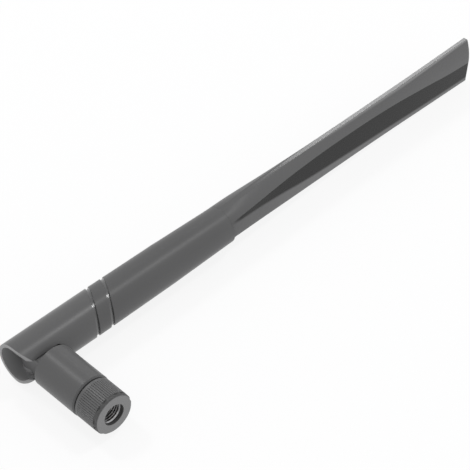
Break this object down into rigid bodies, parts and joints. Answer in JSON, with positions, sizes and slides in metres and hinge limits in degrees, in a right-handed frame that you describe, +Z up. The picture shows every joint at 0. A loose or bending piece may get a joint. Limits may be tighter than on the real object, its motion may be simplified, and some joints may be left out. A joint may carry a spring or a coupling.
{
  "type": "wifi antenna",
  "caption": "Swivel antenna with a tube that flattens into a blade, a folding hinge base and a knurled threaded coaxial coupling nut.",
  "frame": {"origin": "centre of the coupling nut's mouth, on the connector's axis", "axes": "-Y out of the connector's mouth, +X from the hinge along the folded arm, +Z up and along the hinge axis as the antenna lies on a table"},
  "size_m": [0.1722, 0.0375, 0.0162],
  "materials": {
    "black_plastic": "fine matte, moulded",
    "black_metal": "black plated, satin",
    "spring_steel": "bare",
    "gilt_brass": "gold plated",
    "silicone": "soft",
    "white_plastic": "waxy",
    "plated_brass": "nickel plated",
    "black_sleeve": "satin",
    "cable_jacket": "smooth brown",
    "board_laminate": "glass laminate",
    "copper": "thin copper",
    "solder": "bright",
    "foam": "open foam"
  },
  "bodies": {
    "base": {"knuckle_base": "black_plastic", "connector_body": "gilt_brass", "sealing_gasket": "silicone", "connector_insulator": "white_plastic", "centre_contact": "gilt_brass", "crimp_ferrule": "plated_brass", "heat_shrink": "black_sleeve", "coax_base": "cable_jacket", "retaining_ring": "spring_steel"},
    "nut": {"coupling_nut": "black_metal"},
    "arm": {"radome_blade": "black_plastic", "hinge_yoke": "black_plastic", "coax_bend": "cable_jacket", "coax_arm": "cable_jacket", "cable_bushing": "black_sleeve", "antenna_board": "board_laminate", "lower_element": "copper", "phasing_line": "copper", "upper_element": "copper", "ground_element": "copper", "solder_joint": "solder", "foam_pad_lower": "foam", "foam_pad_upper": "foam"}
  },
  "joints": [
    {"name": "fold", "type": "hinge", "parent": "base", "child": "arm", "pos_m": [0, 0.0313, 0], "axis": [0, 0, 1], "range_deg": [0, 90], "deforming": ["coax_bend"]},
    {"name": "nut_turn", "type": "hinge", "parent": "base", "child": "nut", "pos_m": [0, 0, 0], "axis": [0, -1, 0], "continuous": true}
  ]
}
